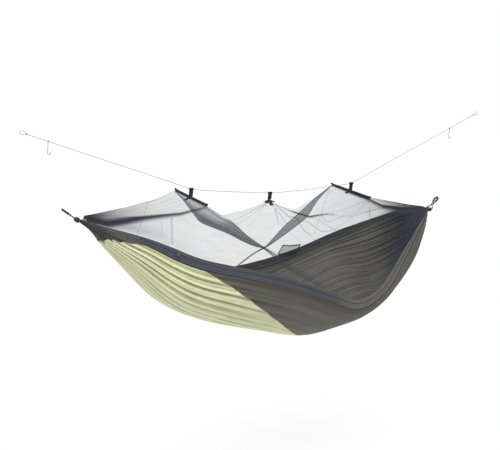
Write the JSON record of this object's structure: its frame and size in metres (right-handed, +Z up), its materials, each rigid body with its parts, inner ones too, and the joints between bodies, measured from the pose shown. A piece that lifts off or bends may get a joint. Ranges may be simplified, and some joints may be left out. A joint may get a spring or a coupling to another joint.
{
  "type": "camping hammock with insect net",
  "caption": "Gathered-end cloth hammock with a roof of insect net held up by spreader bars on a ridge line, and a cord loop at each end to hang it by.",
  "frame": {"origin": "bearing point inside the bend of the foot suspension loop, where the tree strap or hook pulls", "axes": "+X from the foot end to the head end, +Y away from the zip side, +Z up"},
  "size_m": [2.8918, 0.826, 1.3399],
  "materials": {
    "olive_ripstop": "woven nylon, slight sheen",
    "pale_green_ripstop": "woven nylon, slight sheen",
    "slate_cloth": "matt woven nylon",
    "insect_net": "fine open mesh",
    "black_webbing": "matt woven webbing",
    "dark_cord": "braided cord",
    "pale_cord": "braided cord",
    "fibreglass_rod": "satin",
    "black_rubber": "matt",
    "zip_nylon": "matt coil",
    "zinc": "satin plated",
    "steel_wire": "bright wire"
  },
  "bodies": {
    "hung_cloth": {"inner_body": "olive_ripstop", "outer_foot_panel": "pale_green_ripstop", "outer_head_panel": "olive_ripstop", "rim_hem_near": "black_webbing", "rim_hem_far": "black_webbing", "net_skirt_near": "slate_cloth", "net_skirt_far": "slate_cloth", "zip_chain": "zip_nylon", "net_foot_near": "insect_net", "net_foot_far": "insect_net", "net_head_near": "insect_net", "net_head_far": "insect_net", "gear_pocket": "insect_net", "net_patch_centre": "black_webbing", "strap_centre": "black_webbing", "ridge_line": "pale_cord", "ridge_line_loop_foot": "pale_cord", "ridge_line_loop_head": "pale_cord", "end_channel_foot": "olive_ripstop", "end_channel_head": "olive_ripstop"},
    "foot_loop": {"loop_cord_foot": "dark_cord", "loop_whipping_foot": "pale_cord", "loop_sleeve_foot": "black_webbing"},
    "head_loop": {"loop_cord_head": "dark_cord", "loop_whipping_head": "pale_cord", "loop_sleeve_head": "black_webbing"},
    "foot_spreader": {"spreader_bar_foot": "fibreglass_rod", "spreader_sleeve_foot": "black_webbing", "spreader_tip_foot_near": "black_rubber", "spreader_tip_foot_far": "black_rubber", "net_patch_foot": "black_webbing", "strap_foot": "black_webbing"},
    "head_spreader": {"spreader_bar_head": "fibreglass_rod", "spreader_sleeve_head": "black_webbing", "spreader_tip_head_near": "black_rubber", "spreader_tip_head_far": "black_rubber", "net_patch_head": "black_webbing", "strap_head": "black_webbing"},
    "foot_hook": {"line_hook_foot": "steel_wire"},
    "head_hook": {"line_hook_head": "steel_wire"},
    "zip_runner": {"zip_slider": "zinc"},
    "zip_tab": {"zip_pull": "black_webbing"}
  },
  "joints": [
    {"name": "foot_loop_swing", "type": "hinge", "parent": "hung_cloth", "child": "foot_loop", "pos_m": [0.07221, 0, -0.05056], "axis": [0, 1, 0], "range_deg": [-30, 30]},
    {"name": "head_loop_swing", "type": "hinge", "parent": "hung_cloth", "child": "head_loop", "pos_m": [2.36221, 0, -0.05056], "axis": [0, 1, 0], "range_deg": [-30, 30]},
    {"name": "foot_spreader_rock", "type": "hinge", "parent": "hung_cloth", "child": "foot_spreader", "pos_m": [0.69521, 0, 0.09944], "axis": [1, 0, 0], "range_deg": [-8, 8], "deforming": ["net_foot_near", "net_foot_far"]},
    {"name": "head_spreader_rock", "type": "hinge", "parent": "hung_cloth", "child": "head_spreader", "pos_m": [1.73921, 0, 0.12144], "axis": [1, 0, 0], "range_deg": [-8, 8], "deforming": ["net_head_near", "net_head_far"]},
    {"name": "foot_hook_swing", "type": "hinge", "parent": "hung_cloth", "child": "foot_hook", "pos_m": [-0.09179, 0, 0.34244], "axis": [0.9547, 0, -0.2976], "range_deg": [-60, 60]},
    {"name": "head_hook_swing", "type": "hinge", "parent": "hung_cloth", "child": "head_hook", "pos_m": [2.44021, 0, 0.46044], "axis": [0.899, 0, 0.4379], "range_deg": [-60, 60]},
    {"name": "zip_slide", "type": "slide", "parent": "hung_cloth", "child": "zip_runner", "axis": [0.8893, -0.3241, -0.3225], "range_m": [0, 0.1]},
    {"name": "zip_pull_swing", "type": "hinge", "parent": "zip_runner", "child": "zip_tab", "pos_m": [0.51538, -0.27375, -0.17584], "axis": [0.9395, -0.3424, 0], "range_deg": [-75, 0]}
  ]
}
